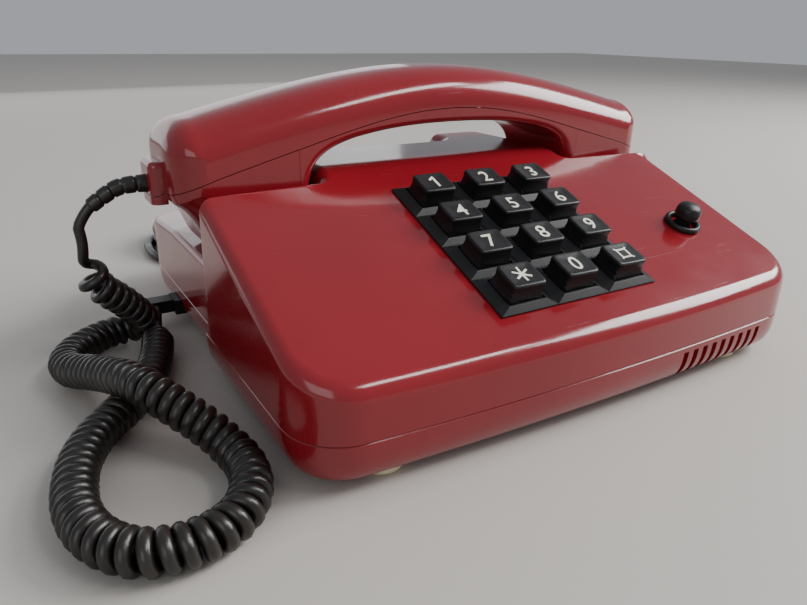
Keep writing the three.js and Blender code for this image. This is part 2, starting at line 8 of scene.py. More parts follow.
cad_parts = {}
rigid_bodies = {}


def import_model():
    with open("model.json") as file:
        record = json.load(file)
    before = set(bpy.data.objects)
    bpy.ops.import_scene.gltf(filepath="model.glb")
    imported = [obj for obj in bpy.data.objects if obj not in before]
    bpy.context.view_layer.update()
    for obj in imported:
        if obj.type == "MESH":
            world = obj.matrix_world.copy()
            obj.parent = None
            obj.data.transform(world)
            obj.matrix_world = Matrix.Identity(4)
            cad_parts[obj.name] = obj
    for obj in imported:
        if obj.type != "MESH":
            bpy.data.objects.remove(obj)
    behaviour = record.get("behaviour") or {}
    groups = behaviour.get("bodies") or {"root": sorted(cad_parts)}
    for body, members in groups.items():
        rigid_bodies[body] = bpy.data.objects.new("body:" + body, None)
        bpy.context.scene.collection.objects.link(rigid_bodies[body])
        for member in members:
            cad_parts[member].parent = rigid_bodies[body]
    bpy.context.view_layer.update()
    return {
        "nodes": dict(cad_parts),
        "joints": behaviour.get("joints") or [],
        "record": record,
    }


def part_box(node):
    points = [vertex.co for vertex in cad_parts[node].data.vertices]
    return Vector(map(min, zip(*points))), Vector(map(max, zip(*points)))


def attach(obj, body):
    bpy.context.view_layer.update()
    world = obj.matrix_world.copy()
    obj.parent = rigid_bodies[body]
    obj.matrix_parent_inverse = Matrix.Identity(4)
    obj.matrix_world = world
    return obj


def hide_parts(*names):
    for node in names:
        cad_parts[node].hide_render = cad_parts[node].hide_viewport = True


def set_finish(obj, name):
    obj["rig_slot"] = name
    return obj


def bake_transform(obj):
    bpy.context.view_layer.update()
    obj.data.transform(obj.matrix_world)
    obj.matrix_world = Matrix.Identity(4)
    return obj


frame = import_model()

MM = 0.001


def low(node):
    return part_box(node)[0]


def high(node):
    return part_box(node)[1]


def middle(node):
    return (low(node) + high(node)) / 2


# ---- camera, at the photograph's viewing angle ----

EYE = Vector((-159.4, -228.5, 118.3)) * MM
LENS = 30.33  # mm, on a sensor 36 mm wide
AZIMUTH, ELEVATION, ROLL = (math.radians(angle) for angle in (31.39, 21.92, 1.03))


def make_camera():
    data = bpy.data.cameras.new("camera")
    data.sensor_width = 36
    data.lens = LENS
    data.clip_start = 0.01
    camera = bpy.data.objects.new("camera", data)
    bpy.context.scene.collection.objects.link(camera)
    flat = Vector((math.sin(AZIMUTH), math.cos(AZIMUTH), 0))
    ahead = flat * math.cos(ELEVATION) - Vector((0, 0, math.sin(ELEVATION)))
    level = Vector((math.cos(AZIMUTH), -math.sin(AZIMUTH), 0))
    above = level.cross(ahead)
    right = math.cos(ROLL) * level + math.sin(ROLL) * above
    up = right.cross(ahead)
    turn = Matrix((right, up, -ahead)).transposed().to_4x4()
    camera.matrix_world = Matrix.Translation(EYE) @ turn
    bpy.context.scene.camera = camera


# ---- mesh helpers ----


def new_mesh(name, verts, faces):
    mesh = bpy.data.meshes.new(name)
    mesh.from_pydata([tuple(v) for v in verts], [], faces)
    mesh.update()
    made = bpy.data.objects.new(name, mesh)
    bpy.context.scene.collection.objects.link(made)
    return made


def bands(rows, count, wrap=True):
    """Faces that join rows of count points, each row closed on itself if wrap."""
    faces = []
    for row in range(rows - 1):
        across = ring_faces(row * count, (row + 1) * count, count)
        faces += across if wrap else across[:-1]
    return faces


def face_outwards(obj, merge=0.0):
    """Turns every face outwards, after joining the points that are closer together than merge."""
    mesh = bmesh.new()
    mesh.from_mesh(obj.data)
    if merge:
        bmesh.ops.remove_doubles(mesh, verts=mesh.verts, dist=merge)
        bmesh.ops.dissolve_degenerate(mesh, edges=mesh.edges, dist=merge)
    bmesh.ops.recalc_face_normals(mesh, faces=mesh.faces)
    mesh.to_mesh(obj.data)
    mesh.free()
    return obj


def ring_faces(start, end, count):
    """Faces from the row of points that starts at one index to the row that starts at another."""
    faces = []
    for i in range(count):
        j = (i + 1) % count
        faces.append((start + i, start + j, end + j, end + i))
    return faces


def cap_faces(rows, count):
    """The two faces that close a stack of rows of count points."""
    last = (rows - 1) * count
    return [tuple(reversed(range(count))), tuple(range(last, last + count))]


def smooth(obj, angle, weighted=True):
    """Smooth shading that keeps corners over the angle and flat faces flat."""
    bpy.context.view_layer.objects.active = obj
    for face in obj.data.polygons:
        face.use_smooth = True
    mesh = bmesh.new()
    mesh.from_mesh(obj.data)
    for edge in mesh.edges:
        if len(edge.link_faces) == 2:
            edge.smooth = edge.calc_face_angle(0) < math.radians(angle)
    mesh.to_mesh(obj.data)
    mesh.free()
    if weighted:
        modifier = obj.modifiers.new("weighted", "WEIGHTED_NORMAL")
        modifier.keep_sharp = True
        modifier.weight = 80
    return obj


def apply_modifiers(obj):
    """Replaces the mesh by what its modifiers make of it."""
    bpy.context.view_layer.update()
    graph = bpy.context.evaluated_depsgraph_get()
    mesh = bpy.data.meshes.new_from_object(obj.evaluated_get(graph))
    old = obj.data
    obj.modifiers.clear()
    obj.data = mesh
    bpy.data.meshes.remove(old)


def combine(obj, tools, operation):
    """Joins the tools to obj, or cuts them out of it, and removes them."""
    for tool in tools:
        modifier = obj.modifiers.new("boolean", "BOOLEAN")
        modifier.operation = operation
        modifier.solver = "EXACT"
        modifier.object = tool
    apply_modifiers(obj)
    for tool in tools:
        bpy.data.objects.remove(tool)
    return obj


def box_mesh(name, lowest, highest, place=None):
    """A box between two corners, moved by place(x, y, z) if it is given."""
    (x0, y0, z0), (x1, y1, z1) = lowest, highest
    outline = [(x0, y0), (x1, y0), (x1, y1), (x0, y1)]
    corners = [(x, y, z) for z in (z0, z1) for x, y in outline]
    if place:
        corners = [place(*corner) for corner in corners]
    return new_mesh(name, corners, cap_faces(2, 4) + ring_faces(0, 4, 4))


def turned(name, profile, place, sides=48):
    """A piece turned from (radius, height) points that start and end on the axis."""
    inner = profile[1:-1]
    verts = [place(0, 0, profile[0][1])]
    for radius, height in inner:
        for i in range(sides):
            angle = 2 * math.pi * i / sides
            verts.append(place(radius * math.cos(angle), radius * math.sin(angle), height))
    verts.append(place(0, 0, profile[-1][1]))
    faces = [(0, 1 + (i + 1) % sides, 1 + i) for i in range(sides)]
    for row in range(len(inner) - 1):
        faces += ring_faces(1 + row * sides, 1 + (row + 1) * sides, sides)
    start, tip = 1 + (len(inner) - 1) * sides, len(verts) - 1
    faces += [(tip, start + i, start + (i + 1) % sides) for i in range(sides)]
    return new_mesh(name, verts, faces)


def rounded(corners, inset=0.0, steps=8, spacing=6 * MM):
    """A closed outline through (x, y, radius) corners, moved inwards by the inset."""
    count = len(corners)
    arcs = []
    for i, (x, y, radius) in enumerate(corners):
        here = Vector((x, y))
        before = (here - Vector(corners[i - 1][:2])).normalized()
        after = (Vector(corners[(i + 1) % count][:2]) - here).normalized()
        turn = math.atan2(before.cross(after), before.dot(after))
        side = 1 if turn > 0 else -1
        reach = max(radius - side * inset, 0.02 * MM)
        inwards = Vector((-before.y, before.x))
        others = Vector((-after.y, after.x))
        corner = here + inset * (inwards + others) / (1 + inwards.dot(others))
        centre = corner - before * reach * math.tan(abs(turn) / 2) + inwards * side * reach
        first = math.atan2(-inwards.y * side, -inwards.x * side)
        angles = [first + turn * k / steps for k in range(steps + 1)]
        arcs.append([centre + reach * Vector((math.cos(a), math.sin(a))) for a in angles])
    outline = []
    for i, arc in enumerate(arcs):
        outline += arc
        there = Vector(corners[(i + 1) % count][:2])
        pieces = max(1, round((there - Vector(corners[i][:2])).length / spacing))
        start, end = arc[-1], arcs[(i + 1) % count][0]
        outline += [start.lerp(end, k / pieces) for k in range(1, pieces)]
    return outline


FOOT_MARK = -10.0  # the height that marks a wall's foot, which isn't moved with the top


def block(name, corners, top, foot, fillet, inset=0.0, bends=(), bow=None, steps=7):
    """An upright block with a rounded upper edge, whose top is at top(y) and whose underside is at foot."""
    edge = max(fillet - inset, 0.4 * MM)
    rows = [(0, FOOT_MARK), (0, -edge)]
    for k in range(1, steps + 1):
        angle = k / steps * math.pi / 2
        rows.append((edge * (1 - math.cos(angle)), -edge * (1 - math.sin(angle))))
    verts = []
    for inwards, height in rows:
        for point in rounded(corners, inset + inwards):
            x, y = bow(point.x, point.y) if bow else point
            verts.append((x, y, height))
    count = len(verts) // len(rows)
    made = new_mesh(name, verts, bands(len(rows), count) + cap_faces(len(rows), count))
    mesh = bmesh.new()
    mesh.from_mesh(made.data)
    for bend in bends:
        geometry = mesh.verts[:] + mesh.edges[:] + mesh.faces[:]
        bmesh.ops.bisect_plane(mesh, geom=geometry, plane_co=(0, bend, 0), plane_no=(0, 1, 0), dist=1e-7)
    for vert in mesh.verts:
        vert.co.z = foot if vert.co.z < FOOT_MARK / 2 else top(vert.co.y) - inset + vert.co.z
    bmesh.ops.connect_verts_concave(mesh, faces=[face for face in mesh.faces if len(face.verts) > 4])
    mesh.to_mesh(made.data)
    mesh.free()
    return made


def catmull(points, spacing):
    """A smooth line through the points, in steps of about the spacing."""
    points = [Vector(p) for p in points]
    padded = [2 * points[0] - points[1], *points, 2 * points[-1] - points[-2]]
    line = [points[0]]
    for a, b, c, d in zip(padded, padded[1:], padded[2:], padded[3:]):
        t0 = 0.0
        t1 = t0 + (b - a).length ** 0.5
        t2 = t1 + (c - b).length ** 0.5
        t3 = t2 + (d - c).length ** 0.5
        pieces = max(2, round((c - b).length / spacing))
        for k in range(1, pieces + 1):
            t = t1 + (t2 - t1) * k / pieces
            p = a * (t1 - t) / (t1 - t0) + b * (t - t0) / (t1 - t0)
            q = b * (t2 - t) / (t2 - t1) + c * (t - t1) / (t2 - t1)
            r = c * (t3 - t) / (t3 - t2) + d * (t - t2) / (t3 - t2)
            s = p * (t2 - t) / (t2 - t0) + q * (t - t0) / (t2 - t0)
            u = q * (t3 - t) / (t3 - t1) + r * (t - t1) / (t3 - t1)
            line.append(s * (t2 - t) / (t2 - t1) + u * (t - t1) / (t2 - t1))
    return line


def frames(line):
    """A direction and two steady normals at each point of a line."""
    found = []
    across = None
    for i, point in enumerate(line):
        ahead = (line[min(i + 1, len(line) - 1)] - line[max(i - 1, 0)]).normalized()
        if across is None:
            across = ahead.cross(Vector((0, 0, 1)) if abs(ahead.z) < 0.9 else Vector((1, 0, 0)))
        across = (across - ahead * across.dot(ahead)).normalized()
        found.append((ahead, across, ahead.cross(across)))
    return found


def lengths(line):
    """The distance along the line at each of its points."""
    run = [0.0]
    for a, b in zip(line, line[1:]):
        run.append(run[-1] + (b - a).length)
    return run


def tube(name, line, radius, sides=10):
    """A round tube along the line; the radius is a number, or a function of the share of the length."""
    run = lengths(line)
    verts = []
    for point, (_, across, upwards), done in zip(line, frames(line), run):
        size = radius(done / run[-1]) if callable(radius) else radius
        for i in range(sides):
            angle = 2 * math.pi * i / sides
            verts.append(point + size * (math.cos(angle) * across + math.sin(angle) * upwards))
    faces = [tuple(reversed(face)) for face in bands(len(line), sides) + cap_faces(len(line), sides)]
    return smooth(face_outwards(new_mesh(name, verts, faces)), 50, weighted=False)


# ---- the curly handset cord ----

STRAND = 3.8 * MM  # diameter of the cord itself
SMOOTHING = 30  # passes over each joint of a lead and the turns
CURL = 12 * MM  # outside diameter of its turns
TOP_LEAD = [  # mm, as are the other routes
    (-132.8, 20.3, 60.8), (-134.6, 20.5, 58.8), (-136.4, 20.8, 56.2),
    (-137.8, 21, 53), (-136.6, 21, 49.4), (-135, 21, 46.4),
]
CURLY_ROUTE = [
    (-136.6, 21.2, 42.6), (-136.4, 21.8, 38.2), (-135.2, 22.8, 33), (-131.6, 24.2, 28),
    (-127.2, 26.2, 23.4), (-123.2, 28.4, 18.4), (-119.8, 31, 13.4), (-119, 34, 9.2),
    (-122.6, 37.6, 6.8), (-129.6, 37.6, 6.4), (-137.4, 33.4, 6.4), (-144.4, 27, 6.4),
    (-149, 17.4, 6.6), (-148.4, 6.4, 8.2), (-144.1, -4.6, 11.4), (-139.8, -17.4, 15.4),
    (-135.4, -31, 18.6), (-130.8, -42.4, 18.6), (-125.4, -50.6, 15.6), (-120, -57, 11.6),
    (-115.8, -63.8, 7.6), (-114.2, -73, 6.3), (-116.4, -83.4, 6.2), (-122, -91.4, 6.2),
    (-129.4, -95.4, 6.2), (-137.8, -96, 6.2), (-145.4, -93.6, 6.2), (-151.4, -87.6, 6.2),
    (-155.2, -79.4, 6.2), (-156.6, -70, 6.2), (-155.8, -60, 6.2), (-153.4, -49.8, 6.2),
    (-149, -40, 6.2), (-142.8, -31.2, 6.2), (-135.4, -23, 6.2), (-129, -14, 6.2),
    (-123.6, -2.4, 6.2), (-119.6, 9.8, 6.2), (-116, 24.6, 6.6),
]
BASE_LEAD = [
    (-115.4, 28.4, 6.9), (-114.4, 33, 7.7), (-113.2, 38.4, 8.6), (-112, 43, 9.1), (-111.6, 45.4, 9.2),
]


def curl_pitch(done, whole, bend):
    """Advance of one turn: open at the handset's end, closed elsewhere, fanned out in bends."""
    closed = (STRAND - 0.1 * MM) / max(1 - 0.45 * bend * (CURL - STRAND) / 2, 0.6)
    opening = 5.5 * MM * max(0.0, 1 - done / (16 * MM))
    return closed + opening


def scaled(route):
    return [Vector(point) * MM for point in route]


def curly_line():
    """The strand's line: a lead, the turns about the route, and another lead, with both joints smoothed."""
    axis = catmull(scaled(CURLY_ROUTE), 0.25 * MM)
    run = lengths(axis)
    turning = frames(axis)
    near = 12  # points to each side that a bend is measured over
    per_turn = 18
    ramp = 4 * MM  # the turns open from the route over this length at each end
    turns = 0.0
    strand = []
    next_mark = 0.0
    for i, (point, (ahead, across, upwards)) in enumerate(zip(axis, turning)):
        back, fore = turning[max(i - near, 0)][0], turning[min(i + near, len(axis) - 1)][0]
        span = run[min(i + near, len(axis) - 1)] - run[max(i - near, 0)]
        bend = back.angle(fore) / span
        if i:
            turns += (run[i] - run[i - 1]) / curl_pitch(run[i], run[-1], bend)
        room = min(1.0, run[i] / ramp, (run[-1] - run[i]) / ramp)
        radius = (CURL - STRAND) / 2 * math.sin(room * math.pi / 2)
        while next_mark <= turns:
            angle = 2 * math.pi * next_mark
            offset = math.cos(angle) * across + math.sin(angle) * upwards
            strand.append(point + radius * offset)
            next_mark += 1 / per_turn
    lead = catmull(scaled(TOP_LEAD), 1.5 * MM)
    tail = catmull(scaled(BASE_LEAD), 1.5 * MM)
    line = lead + strand + tail
    for joint in (len(lead), len(lead) + len(strand)):
        for _ in range(SMOOTHING):
            for i in range(joint - 5, min(joint + 9, len(line) - 2)):
                line[i] = (line[i - 1] + line[i + 1] + 2 * line[i]) / 4
    return line


def handset_cord():
    line = curly_line()
    cord = tube("curly_cord", line, STRAND / 2, 10)
    relief = ribbed_relief()
    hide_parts("handset_cord", "handset_cord_top_lead", "handset_cord_base_lead")
    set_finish(cord, "cord_pvc")
    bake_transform(cord)
    tuple(line[0])
    lengths(line)[-1]
    [tuple(p) for p in line]


RELIEF_ROUTE = [
    (-113.6, 19, 67), (-119, 19, 67), (-124, 19.3, 66.2), (-129, 19.8, 63.4), (-133.2, 20.3, 60.4),
]


def ribbed_relief():
    """The strain relief at the handset: a tapering tube with five ribs."""
    line = catmull(scaled(RELIEF_ROUTE), 0.3 * MM)
    ribs = 5

    def radius(share):
        wave = share * ribs % 1
        rib = min(1.0, 7 * wave, 7 * (1 - wave))
        return (3.15 - 0.5 * share) * MM * (0.8 + 0.2 * rib)

    relief = tube("handset_relief", line, radius, 20)
    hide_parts("handset_strain_relief")
    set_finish(relief, "cord_pvc")
    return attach(relief, "handset")


# ---- the line cord ----

LINE_CORD = 4.8 * MM  # its diameter
LINE_ROUTE = [  # from the rear wall
    (-62, 7.6, 9), (-62.1, 11, 8), (-65, 15.5, 4.6), (-72, 19.5, 2.8),
    (-82, 26, 2.6), (-89.5, 35.5, 2.6), (-92.3, 45.5, 2.6), (-92.3, 53.5, 2.6),
]


def ease(share):
    """A smooth step from 0 to 1."""
    share = max(0.0, min(1.0, share))
    return share * share * (3 - 2 * share)


def coil_column(turn, rows):
    """The turn's place from the outside in: each layer is wound back over the last."""
    return turn % rows if turn // rows % 2 == 0 else rows - 1 - turn % rows


def line_cord():
    """The cord leaves the rear wall and is wound into a ring of three layers of three turns."""
    coil_low, coil_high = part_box("line_cord_coil")
    centre = (coil_low + coil_high) / 2
    outer = (coil_high.x - coil_low.x) / 2 - LINE_CORD / 2
    rear = high("base_tray").y
    points = [Vector((x * MM, rear + y * MM, z * MM)) for x, y, z in LINE_ROUTE]

    def wind(ring, angle, height):
        points.append(Vector((centre.x + ring * math.cos(angle), centre.y + ring * math.sin(angle), height)))

    per_turn = 24
    rows = 3
    turns = rows * rows
    for turn in range(turns):
        layer, layer_after = turn // rows, min((turn + 1) // rows, rows - 1)
        column = coil_column(turn, rows)
        column_after = coil_column(turn + 1, rows) if turn + 1 < turns else column
        for k in range(per_turn):
            share = k / per_turn
            shift = ease((share - 0.7) / 0.3)
            ring = outer - LINE_CORD * (column + (column_after - column) * shift)
            if turn == 0:
                ring += 5.5 * MM * max(0.0, 1 - share * 5)
            height = coil_low.z + LINE_CORD * (0.5 + layer + (layer_after - layer) * shift)
            wind(ring, math.pi - 2 * math.pi * (share + 0.04), height)
    inner = outer - LINE_CORD * (rows - 1)
    plug = middle("line_plug")
    sleeve = Vector((plug.x, high("line_plug").y, low("line_plug").z + 4.4 * MM))
    end_ring = sleeve.x - centre.x
    over = coil_low.z + LINE_CORD * 3.55
    start = coil_low.z + LINE_CORD * 2.5
    steps = 15
    for k in range(1, steps):
        share = k / steps
        height = start + (over - start) * min(1.0, share * 3)
        height += (sleeve.z - over) * ease((share - 0.62) / 0.38)
        wind(inner + (end_ring - inner) * ease(share), math.pi * 0.92 * (1 - share), height)
    points.append(sleeve + Vector((0, 0.3 * MM, 0)))
    line = catmull(points, 3 * MM)
    cord = tube("line_cord_run", line, LINE_CORD / 2, 14)
    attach(cord, "case")
    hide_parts("line_cord", "line_cord_coil")
    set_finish(cord, "cord_pvc")
    tuple(line[0])
    lengths(line)[-1]
    [tuple(p) for p in line]


# ---- the case ----

press = next(j["axis"] for j in frame["joints"] if j["name"] == "key_0_press")
TILT = math.atan2(press[1], -press[2])
UP_SLOPE = Vector((0, math.cos(TILT), math.sin(TILT)))
OUT = Vector((0, -math.sin(TILT), math.cos(TILT)))


def on_face(x, up, out):
    """The point at x, at a distance up the slope and out of it, both from the world's origin."""
    return Vector((x, 0, 0)) + UP_SLOPE * up + OUT * out


def face_box(node):
    """A CAD node's lowest and highest x, distance up the slope and distance out of it."""
    points = [vert.co for vert in frame["nodes"][node].data.vertices]
    sides = [(p.x, p.dot(UP_SLOPE), p.dot(OUT)) for p in points]
    return [min(axis) for axis in zip(*sides)], [max(axis) for axis in zip(*sides)]


def face_middle(node):
    """A CAD node's middle x and distance up the slope."""
    lowest, highest = face_box(node)
    return (lowest[0] + highest[0]) / 2, (lowest[1] + highest[1]) / 2


BEZEL_LOW, BEZEL_HIGH = face_box("keypad_bezel")
FACE = BEZEL_LOW[2] - 0.3 * MM  # the sloping face's distance out
WALL = 2.6 * MM
BOW = 2.5 * MM
HALF_WIDTH = high("upper_case").x
REAR_HALF_WIDTH = HALF_WIDTH - 3 * MM
FRONT = low("upper_case").y + BOW
REAR = high("upper_case").y
SEAM = low("upper_case").z
WELL_Y = -4.6 * MM  # front wall of the two wells that hold the cups
WELL_Z = 41 * MM
WELL_REAR_Z = 37 * MM
DECK_Z = 70.5 * MM
DECK_HALF = 58 * MM
GRIP_HALF = 28 * MM  # the finger recess behind the deck
GRIP_Y = 40 * MM
DECK_REAR = 60 * MM
SHELF_Z = 56 * MM  # the shelf behind the deck
CREST_ROUND = 20 * MM
EDGE = 4.2 * MM  # rounding of the upper edges
FRONT_CORNER = 18 * MM
REAR_CORNER = 20 * MM
WELL_SLOPE = 50 * MM  # the wells' floor falls over this length before the rear wall


def face_z(y):
    """Height of the sloping face."""
    return (FACE + y * math.sin(TILT)) / math.cos(TILT)


def deck_top(y):
    """The sloping face, which turns over into the level deck."""
    meet = (DECK_Z * math.cos(TILT) - FACE) / math.sin(TILT)
    reach = CREST_ROUND * math.tan(TILT / 2)
    if y < meet - reach * math.cos(TILT):
        return face_z(y)
    if y > meet + reach:
        return DECK_Z
    return DECK_Z - CREST_ROUND + math.sqrt(CREST_ROUND**2 - (meet + reach - y) ** 2)


def well_top(y):
    """Height of the wells' floor."""
    start = REAR - WELL_SLOPE
    return WELL_Z - (WELL_Z - WELL_REAR_Z) * max(0.0, y - start) / (REAR - start)


def bow_front(x, y):
    """Bows the front wall outwards between its rounded corners."""
    reach, depth = HALF_WIDTH - FRONT_CORNER, 40 * MM
    share = max(0.0, 1 - (x / reach) ** 2)
    return x, y - BOW * share * max(0.0, min(1.0, (FRONT + depth - y) / depth))


def case_blocks(inset, foot, suffix):
    """The wedge with the deck, the wells' blocks and the shelf as one solid, moved inwards by the inset."""
    wide, deck, grip = HALF_WIDTH, DECK_HALF, GRIP_HALF
    upper = [
        (-wide, FRONT, FRONT_CORNER), (wide, FRONT, FRONT_CORNER),
        (wide, WELL_Y, 5 * MM), (deck, WELL_Y, 3 * MM),
        (deck, DECK_REAR, 6 * MM), (grip, DECK_REAR, 5 * MM), (grip, GRIP_Y, 9 * MM), (-grip, GRIP_Y, 9 * MM),
        (-grip, DECK_REAR, 5 * MM), (-deck, DECK_REAR, 6 * MM),
        (-deck, WELL_Y, 3 * MM), (-wide, WELL_Y, 5 * MM),
    ]
    wells = [
        (-REAR_HALF_WIDTH, WELL_Y - 12 * MM, 2 * MM), (REAR_HALF_WIDTH, WELL_Y - 12 * MM, 2 * MM),
        (REAR_HALF_WIDTH, REAR, REAR_CORNER), (-REAR_HALF_WIDTH, REAR, REAR_CORNER),
    ]
    crest = [(k * 0.9 - 4.5) * MM for k in range(13)]
    front = block("case" + suffix, upper, deck_top, foot, EDGE, inset, crest, bow_front)
    lean_back(front)
    rear = block("wells" + suffix, wells, well_top, foot, 2.4 * MM, inset, [REAR - WELL_SLOPE])
    parts = [rear]
    for side in (-1, 1):
        a, b = sorted((side * deck, side * grip))
        inside = DECK_REAR - 12 * MM
        shelf = [(a, inside, MM), (b, inside, MM), (b, REAR - MM, 5 * MM), (a, REAR - MM, 5 * MM)]
        parts.append(block("shelf" + suffix, shelf, lambda y: SHELF_Z, foot, 4 * MM, inset))
    return combine(front, parts, "UNION")


def lean_back(obj):
    """Leans the front walls of the wells forward towards their top, most at the case's sides."""
    lean, depth, height = 6.5 * MM, 9 * MM, 22 * MM
    for vert in obj.data.vertices:
        x, y, z = vert.co
        share = (abs(x) - DECK_HALF) / (HALF_WIDTH - DECK_HALF)
        if share > 0 and y > WELL_Y - depth:
            near = min(1.0, (y - WELL_Y + depth) / depth)
            rise = max(0.0, min(1.0, (z - WELL_Z) / height))
            vert.co.y -= lean * min(1.0, share) * near * rise


def post(name, x, y, foot, top, radius, sides=24):
    """An upright cylinder, for cuts."""
    profile = [(0, foot), (radius, foot), (radius, top), (0, top)]
    return turned(name, profile, lambda a, b, z: Vector((x + a, y + b, z)), sides)


def case_shell():
    """The upper case: a hollow wedge with openings for the keypad, the round button and the hook."""
    shell = case_blocks(0, SEAM, "_outer")
    hollow = case_blocks(WALL, SEAM - 5 * MM, "_inner")
    combine(shell, [hollow], "DIFFERENCE")
    margin, inside, outside = 2.2 * MM, FACE - 12 * MM, FACE + 5 * MM
    field = box_mesh(
        "field",
        (BEZEL_LOW[0] + margin, BEZEL_LOW[1] + margin, inside),
        (BEZEL_HIGH[0] - margin, BEZEL_HIGH[1] - margin, outside),
        on_face,
    )
    button_x, button_up = face_middle("ground_button_collar")
    radius = 3.8 * MM
    hole = turned(
        "hole",
        [(0, inside), (radius, inside), (radius, outside), (0, outside)],
        lambda a, b, out: on_face(button_x + a, button_up + b, out),
    )
    cuts = [field, hole]
    gap = 0.5 * MM
    for name in ("hook_plunger_1", "hook_plunger_2"):
        (x0, y0, _), (x1, y1, _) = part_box(name)
        cuts.append(box_mesh("slot", (x0 - gap, y0 - gap, 30 * MM), (x1 + gap, y1 + gap, 50 * MM)))
    combine(shell, cuts, "DIFFERENCE")
    shell.name = "case_shell"
    smooth(shell, 28)
    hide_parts("upper_case")
    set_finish(shell, "case_plastic")
    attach(shell, "case")


def tray_shell():
    """The base: its sides curve under towards a flat underside."""
    top = high("base_tray").z
    foot = low("base_tray").z
    wide, narrow = HALF_WIDTH, REAR_HALF_WIDTH

    corners = [
        (-wide, FRONT, FRONT_CORNER), (wide, FRONT, FRONT_CORNER), (wide, WELL_Y, 5 * MM),
        (narrow, WELL_Y + 3 * MM, 4 * MM), (narrow, REAR, REAR_CORNER), (-narrow, REAR, REAR_CORNER),
        (-narrow, WELL_Y + 3 * MM, 4 * MM), (-wide, WELL_Y, 5 * MM),
    ]

    height = top - foot
    under = 6.5 * MM
    outer = [(0.25 * MM, top), (0, top - 0.25 * MM)]
    for k in range(1, 11):
        angle = k / 10 * math.pi / 2
        lean = 2.2 * MM * (1 - math.cos(angle))
        outer.append((lean + under * (1 - math.cos(angle)) ** 1.7, top - height * math.sin(angle)))
    inner = [(under + 2.4 * MM, foot + WALL), (4.6 * MM, foot + 5 * MM), (WALL, top - 6 * MM), (WALL, top)]
    verts = []
    for inset, z in outer + inner:
        verts += [(*bow_front(p.x, p.y), z) for p in rounded(corners, inset)]
    rows = len(outer + inner)
    count = len(verts) // rows
    faces = [tuple(reversed(f)) for f in bands(rows, count) if f[0] // count != len(outer) - 1]
    faces += ring_faces(0, (rows - 1) * count, count)
    faces.append(tuple(reversed(range((len(outer) - 1) * count, len(outer) * count))))
    faces.append(tuple(range(len(outer) * count, (len(outer) + 1) * count)))
    tray = face_outwards(new_mesh("tray_shell", verts, faces))
    cuts = []
    slot_front, slot_rear = FRONT - 10 * MM, FRONT + 12 * MM
    for i in range(9):
        x = (36 + i * 5.4) * MM
        cuts.append(box_mesh("slot", (x, slot_front, 5.6 * MM), (x + 2.7 * MM, slot_rear, 15 * MM)))
    gap = 0.4 * MM
    (_, y0, z0), (_, y1, z1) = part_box("handset_cord_plug")
    socket_low, socket_high = -HALF_WIDTH - 5 * MM, -HALF_WIDTH + 16 * MM
    cuts.append(box_mesh("socket", (socket_low, y0 - gap, z0 - gap), (socket_high, y1 + gap, z1 + gap)))
    (x0, _, z0), (x1, _, z1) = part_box("line_strain_relief")
    gland_low, gland_high = REAR - 12 * MM, REAR + 5 * MM
    cuts.append(box_mesh("gland", (x0 - gap, gland_low, z0 - gap), (x1 + gap, gland_high, z1 + gap)))
    for i in range(1, 5):
        screw = middle(f"case_screw_{i}")
        cuts.append(post("screw_hole", screw.x, screw.y, 0, 20 * MM, 3.6 * MM))
    combine(tray, cuts, "DIFFERENCE")
    smooth(tray, 32)
    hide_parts("base_tray")
    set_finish(tray, "case_plastic")
    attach(tray, "case")


# ---- the handset ----

HANDSET_Y = middle("handset_lower_shell").y
HALF_DEPTH = (high("handset_lower_shell").y - low("handset_lower_shell").y) / 2
END = high("handset_lower_shell").x
CUP_Z = low("handset_lower_shell").z
SIDE_A = 14 * MM  # how far the top's rounding reaches inwards from the front and rear
SIDE_B = 11 * MM  # and downwards
SHELL = 2.2 * MM  # wall thickness
SEAM_GAP = 0.15 * MM  # each shell stops this far from the seam's middle
BOSS_OUT = 4.5 * MM  # how far the cord's block stands out of the left end
SEAM_POINTS = [
    (0, 90.2), (16, 89.3), (32, 86.9), (48, 83.3), (63, 79.3),
    (80, 74.8), (96, 70.4), (104, 67.6), (112, 63.6),
]


def crown(x):
    """Height of the handset's top along its length."""
    return (105.3 - 0.3 * (math.hypot(x / MM, 64) - 64)) * MM


def even(points, spacing):
    """Points at an even spacing on a smooth line through the (x, z) points, which are in mm."""
    line = catmull([Vector((x * MM, 0, z * MM)) for x, z in points], 0.3 * MM)
    run = lengths(line)
    count = max(2, round(run[-1] / spacing))
    chosen = []
    k = 0
    for i in range(count + 1):
        while k < len(run) - 1 and run[k] < run[-1] * i / count - 1e-9:
            k += 1
        chosen.append((line[k].x, line[k].z))
    return chosen


SEAM_LINE = even(SEAM_POINTS, 0.6 * MM)


def seam_z(x):
    """Height of the seam between the two shells."""
    x = abs(x)
    for (x0, z0), (x1, z1) in zip(SEAM_LINE, SEAM_LINE[1:]):
        if x <= x1:
            return z0 + (z1 - z0) * (x - x0) / (x1 - x0)
    return SEAM_LINE[-1][1]


def mirror(half):
    """The whole profile, from the left end to the right one, of a right half that starts at x = 0."""
    return [(-x, z, *rest) for x, z, *rest in reversed(half[1:])] + half


